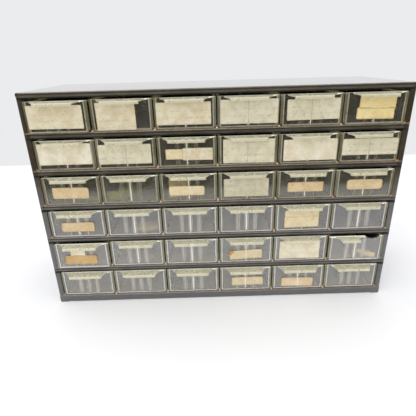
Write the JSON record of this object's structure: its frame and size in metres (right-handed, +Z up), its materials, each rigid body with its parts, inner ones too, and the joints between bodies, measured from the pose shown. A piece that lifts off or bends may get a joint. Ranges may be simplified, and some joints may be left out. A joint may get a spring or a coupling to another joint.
{
  "type": "parts cabinet",
  "caption": "Small parts cabinet: folded enamelled steel case with guided shelves, and clear moulded drawers with finger pulls, label cards and dividers.",
  "frame": {"origin": "middle of the bottom of the bounding box, on the surface the cabinet stands on", "axes": "+X along the width to the right as seen from the front, +Y to the back, +Z up; drawers pull towards -Y"},
  "size_m": [0.438, 0.1636, 0.275],
  "materials": {
    "enamel": "brown-grey baked enamel over folded sheet steel, semi-gloss, worn and lightly rusted at the edges",
    "clear_styrene": "clear polystyrene, slightly yellowed, hazed and scratched",
    "card": "cream paper cards and strips with age stains",
    "tape": "aged tan and yellow masking tape, dry and matt",
    "scraps": "olive cloth scrap left lying in a drawer"
  },
  "bodies": {
    "cabinet": {"cabinet_shell": "enamel", "back_panel": "enamel", "bottom_pan": "enamel", "shelf_1": "enamel", "shelf_2": "enamel", "shelf_3": "enamel", "shelf_4": "enamel", "shelf_5": "enamel"},
    "drawer_r1_c1": {"drawer_r1_c1": "clear_styrene"},
    "drawer_r1_c2": {"drawer_r1_c2": "clear_styrene"},
    "drawer_r1_c3": {"drawer_r1_c3": "clear_styrene"},
    "drawer_r1_c4": {"drawer_r1_c4": "clear_styrene"},
    "drawer_r1_c5": {"drawer_r1_c5": "clear_styrene"},
    "drawer_r1_c6": {"drawer_r1_c6": "clear_styrene"},
    "drawer_r2_c1": {"drawer_r2_c1": "clear_styrene"},
    "drawer_r2_c2": {"drawer_r2_c2": "clear_styrene"},
    "drawer_r2_c3": {"drawer_r2_c3": "clear_styrene"},
    "drawer_r2_c4": {"drawer_r2_c4": "clear_styrene"},
    "drawer_r2_c5": {"drawer_r2_c5": "clear_styrene"},
    "drawer_r2_c6": {"drawer_r2_c6": "clear_styrene"},
    "drawer_r3_c1": {"drawer_r3_c1": "clear_styrene"},
    "drawer_r3_c2": {"drawer_r3_c2": "clear_styrene"},
    "drawer_r3_c3": {"drawer_r3_c3": "clear_styrene"},
    "drawer_r3_c4": {"drawer_r3_c4": "clear_styrene"},
    "drawer_r3_c5": {"drawer_r3_c5": "clear_styrene"},
    "drawer_r3_c6": {"drawer_r3_c6": "clear_styrene"},
    "drawer_r4_c1": {"drawer_r4_c1": "clear_styrene"},
    "drawer_r4_c2": {"drawer_r4_c2": "clear_styrene"},
    "drawer_r4_c3": {"drawer_r4_c3": "clear_styrene"},
    "drawer_r4_c4": {"drawer_r4_c4": "clear_styrene"},
    "drawer_r4_c5": {"drawer_r4_c5": "clear_styrene"},
    "drawer_r4_c6": {"drawer_r4_c6": "clear_styrene"},
    "drawer_r5_c1": {"drawer_r5_c1": "clear_styrene"},
    "drawer_r5_c2": {"drawer_r5_c2": "clear_styrene"},
    "drawer_r5_c3": {"drawer_r5_c3": "clear_styrene"},
    "drawer_r5_c4": {"drawer_r5_c4": "clear_styrene"},
    "drawer_r5_c5": {"drawer_r5_c5": "clear_styrene"},
    "drawer_r5_c6": {"drawer_r5_c6": "clear_styrene"},
    "drawer_r6_c1": {"drawer_r6_c1": "clear_styrene"},
    "drawer_r6_c2": {"drawer_r6_c2": "clear_styrene"},
    "drawer_r6_c3": {"drawer_r6_c3": "clear_styrene"},
    "drawer_r6_c4": {"drawer_r6_c4": "clear_styrene"},
    "drawer_r6_c5": {"drawer_r6_c5": "clear_styrene"},
    "drawer_r6_c6": {"drawer_r6_c6": "clear_styrene"}
  },
  "joints": [
    {"name": "slide_r1_c1", "type": "slide", "parent": "cabinet", "child": "drawer_r1_c1", "axis": [0, -1, 0], "range_m": [-0.0045, 0.1365]},
    {"name": "slide_r1_c2", "type": "slide", "parent": "cabinet", "child": "drawer_r1_c2", "axis": [0, -1, 0], "range_m": [0, 0.141]},
    {"name": "slide_r1_c3", "type": "slide", "parent": "cabinet", "child": "drawer_r1_c3", "axis": [0, -1, 0], "range_m": [0, 0.141]},
    {"name": "slide_r1_c4", "type": "slide", "parent": "cabinet", "child": "drawer_r1_c4", "axis": [0, -1, 0], "range_m": [0, 0.141]},
    {"name": "slide_r1_c5", "type": "slide", "parent": "cabinet", "child": "drawer_r1_c5", "axis": [0, -1, 0], "range_m": [0, 0.141]},
    {"name": "slide_r1_c6", "type": "slide", "parent": "cabinet", "child": "drawer_r1_c6", "axis": [0, -1, 0], "range_m": [-0.0014, 0.1396]},
    {"name": "slide_r2_c1", "type": "slide", "parent": "cabinet", "child": "drawer_r2_c1", "axis": [0, -1, 0], "range_m": [0, 0.141]},
    {"name": "slide_r2_c2", "type": "slide", "parent": "cabinet", "child": "drawer_r2_c2", "axis": [0, -1, 0], "range_m": [0, 0.141]},
    {"name": "slide_r2_c3", "type": "slide", "parent": "cabinet", "child": "drawer_r2_c3", "axis": [0, -1, 0], "range_m": [0, 0.141]},
    {"name": "slide_r2_c4", "type": "slide", "parent": "cabinet", "child": "drawer_r2_c4", "axis": [0, -1, 0], "range_m": [0, 0.141]},
    {"name": "slide_r2_c5", "type": "slide", "parent": "cabinet", "child": "drawer_r2_c5", "axis": [0, -1, 0], "range_m": [0, 0.141]},
    {"name": "slide_r2_c6", "type": "slide", "parent": "cabinet", "child": "drawer_r2_c6", "axis": [0, -1, 0], "range_m": [0, 0.141]},
    {"name": "slide_r3_c1", "type": "slide", "parent": "cabinet", "child": "drawer_r3_c1", "axis": [0, -1, 0], "range_m": [0, 0.141]},
    {"name": "slide_r3_c2", "type": "slide", "parent": "cabinet", "child": "drawer_r3_c2", "axis": [0, -1, 0], "range_m": [0, 0.141]},
    {"name": "slide_r3_c3", "type": "slide", "parent": "cabinet", "child": "drawer_r3_c3", "axis": [0, -1, 0], "range_m": [0, 0.141]},
    {"name": "slide_r3_c4", "type": "slide", "parent": "cabinet", "child": "drawer_r3_c4", "axis": [0, -1, 0], "range_m": [0, 0.141]},
    {"name": "slide_r3_c5", "type": "slide", "parent": "cabinet", "child": "drawer_r3_c5", "axis": [0, -1, 0], "range_m": [0, 0.141]},
    {"name": "slide_r3_c6", "type": "slide", "parent": "cabinet", "child": "drawer_r3_c6", "axis": [0, -1, 0], "range_m": [-0.0014, 0.1396]},
    {"name": "slide_r4_c1", "type": "slide", "parent": "cabinet", "child": "drawer_r4_c1", "axis": [0, -1, 0], "range_m": [0, 0.141]},
    {"name": "slide_r4_c2", "type": "slide", "parent": "cabinet", "child": "drawer_r4_c2", "axis": [0, -1, 0], "range_m": [0, 0.141]},
    {"name": "slide_r4_c3", "type": "slide", "parent": "cabinet", "child": "drawer_r4_c3", "axis": [0, -1, 0], "range_m": [0, 0.141]},
    {"name": "slide_r4_c4", "type": "slide", "parent": "cabinet", "child": "drawer_r4_c4", "axis": [0, -1, 0], "range_m": [0, 0.141]},
    {"name": "slide_r4_c5", "type": "slide", "parent": "cabinet", "child": "drawer_r4_c5", "axis": [0, -1, 0], "range_m": [0, 0.141]},
    {"name": "slide_r4_c6", "type": "slide", "parent": "cabinet", "child": "drawer_r4_c6", "axis": [0, -1, 0], "range_m": [0, 0.141]},
    {"name": "slide_r5_c1", "type": "slide", "parent": "cabinet", "child": "drawer_r5_c1", "axis": [0, -1, 0], "range_m": [-0.0031, 0.1379]},
    {"name": "slide_r5_c2", "type": "slide", "parent": "cabinet", "child": "drawer_r5_c2", "axis": [0, -1, 0], "range_m": [0, 0.141]},
    {"name": "slide_r5_c3", "type": "slide", "parent": "cabinet", "child": "drawer_r5_c3", "axis": [0, -1, 0], "range_m": [0, 0.141]},
    {"name": "slide_r5_c4", "type": "slide", "parent": "cabinet", "child": "drawer_r5_c4", "axis": [0, -1, 0], "range_m": [0, 0.141]},
    {"name": "slide_r5_c5", "type": "slide", "parent": "cabinet", "child": "drawer_r5_c5", "axis": [0, -1, 0], "range_m": [0, 0.141]},
    {"name": "slide_r5_c6", "type": "slide", "parent": "cabinet", "child": "drawer_r5_c6", "axis": [0, -1, 0], "range_m": [-0.0031, 0.1379]},
    {"name": "slide_r6_c1", "type": "slide", "parent": "cabinet", "child": "drawer_r6_c1", "axis": [0, -1, 0], "range_m": [0, 0.141]},
    {"name": "slide_r6_c2", "type": "slide", "parent": "cabinet", "child": "drawer_r6_c2", "axis": [0, -1, 0], "range_m": [0, 0.141]},
    {"name": "slide_r6_c3", "type": "slide", "parent": "cabinet", "child": "drawer_r6_c3", "axis": [0, -1, 0], "range_m": [0, 0.141]},
    {"name": "slide_r6_c4", "type": "slide", "parent": "cabinet", "child": "drawer_r6_c4", "axis": [0, -1, 0], "range_m": [0, 0.141]},
    {"name": "slide_r6_c5", "type": "slide", "parent": "cabinet", "child": "drawer_r6_c5", "axis": [0, -1, 0], "range_m": [0, 0.141]},
    {"name": "slide_r6_c6", "type": "slide", "parent": "cabinet", "child": "drawer_r6_c6", "axis": [0, -1, 0], "range_m": [0, 0.141]}
  ]
}
